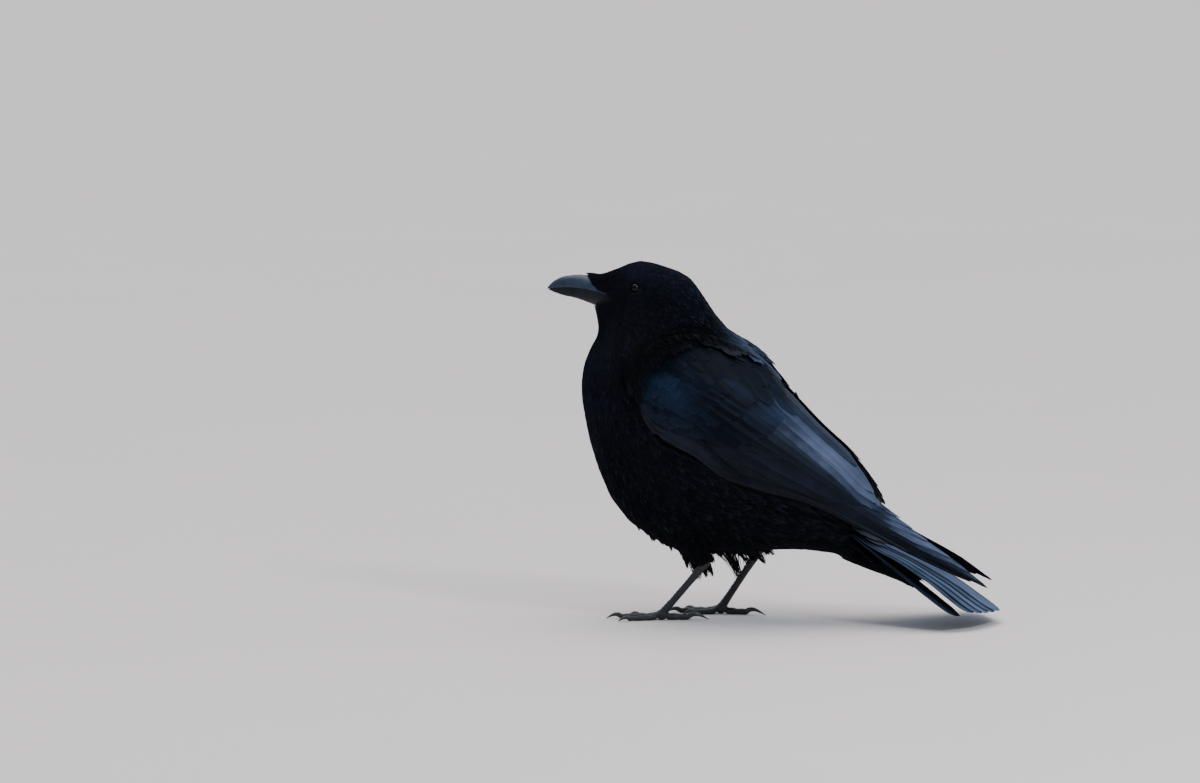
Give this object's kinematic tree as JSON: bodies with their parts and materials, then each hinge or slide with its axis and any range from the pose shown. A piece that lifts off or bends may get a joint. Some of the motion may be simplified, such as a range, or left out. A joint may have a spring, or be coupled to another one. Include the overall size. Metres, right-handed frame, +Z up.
{
  "type": "crow",
  "caption": "Carrion crow standing on both feet, wings folded, tail low and slightly spread; a still life-size model of the whole bird.",
  "frame": {"origin": "on the floor, at the centre of the bird's box", "axes": "the bird faces -X; its left side is towards -Y; +Z is up"},
  "size_m": [0.381, 0.1226, 0.3],
  "materials": {
    "plumage": "soft black contour feathers with a faint blue and violet gloss",
    "flight_feathers": "firm black wing and tail feathers with a steel-blue sheen",
    "bill_horn": "dark grey horn, satin, finely scratched",
    "leg_scales": "dark grey scaly skin",
    "claws": "black horn, polished",
    "eyes": "wet, dark brown"
  },
  "bodies": {
    "root": {"bill_lower": "bill_horn", "bill_upper": "bill_horn", "claw_left_hallux": "claws", "claw_left_inner": "claws", "claw_left_middle": "claws", "claw_left_outer": "claws", "claw_right_hallux": "claws", "claw_right_inner": "claws", "claw_right_middle": "claws", "claw_right_outer": "claws", "eye_left": "eyes", "eye_right": "eyes", "foot_left": "leg_scales", "foot_right": "leg_scales", "head": "plumage", "nasal_bristles": "plumage", "neck": "plumage", "rump": "plumage", "scapulars_left": "plumage", "scapulars_right": "plumage", "tail_feather_left_1": "flight_feathers", "tail_feather_left_2": "flight_feathers", "tail_feather_left_3": "flight_feathers", "tail_feather_left_4": "flight_feathers", "tail_feather_left_5": "flight_feathers", "tail_feather_left_6": "flight_feathers", "tail_feather_right_1": "flight_feathers", "tail_feather_right_2": "flight_feathers", "tail_feather_right_3": "flight_feathers", "tail_feather_right_4": "flight_feathers", "tail_feather_right_5": "flight_feathers", "tail_feather_right_6": "flight_feathers", "tarsus_left": "leg_scales", "tarsus_right": "leg_scales", "thigh_left": "plumage", "thigh_right": "plumage", "toe_left_hallux": "leg_scales", "toe_left_inner": "leg_scales", "toe_left_middle": "leg_scales", "toe_left_outer": "leg_scales", "toe_right_hallux": "leg_scales", "toe_right_inner": "leg_scales", "toe_right_middle": "leg_scales", "toe_right_outer": "leg_scales", "trunk": "plumage", "undertail_coverts": "plumage", "wing_left_coverts": "flight_feathers", "wing_left_primaries": "flight_feathers", "wing_left_primary_coverts": "flight_feathers", "wing_left_secondaries": "flight_feathers", "wing_left_tertials": "flight_feathers", "wing_right_coverts": "flight_feathers", "wing_right_primaries": "flight_feathers", "wing_right_primary_coverts": "flight_feathers", "wing_right_secondaries": "flight_feathers", "wing_right_tertials": "flight_feathers"}
  },
  "joints": []
}
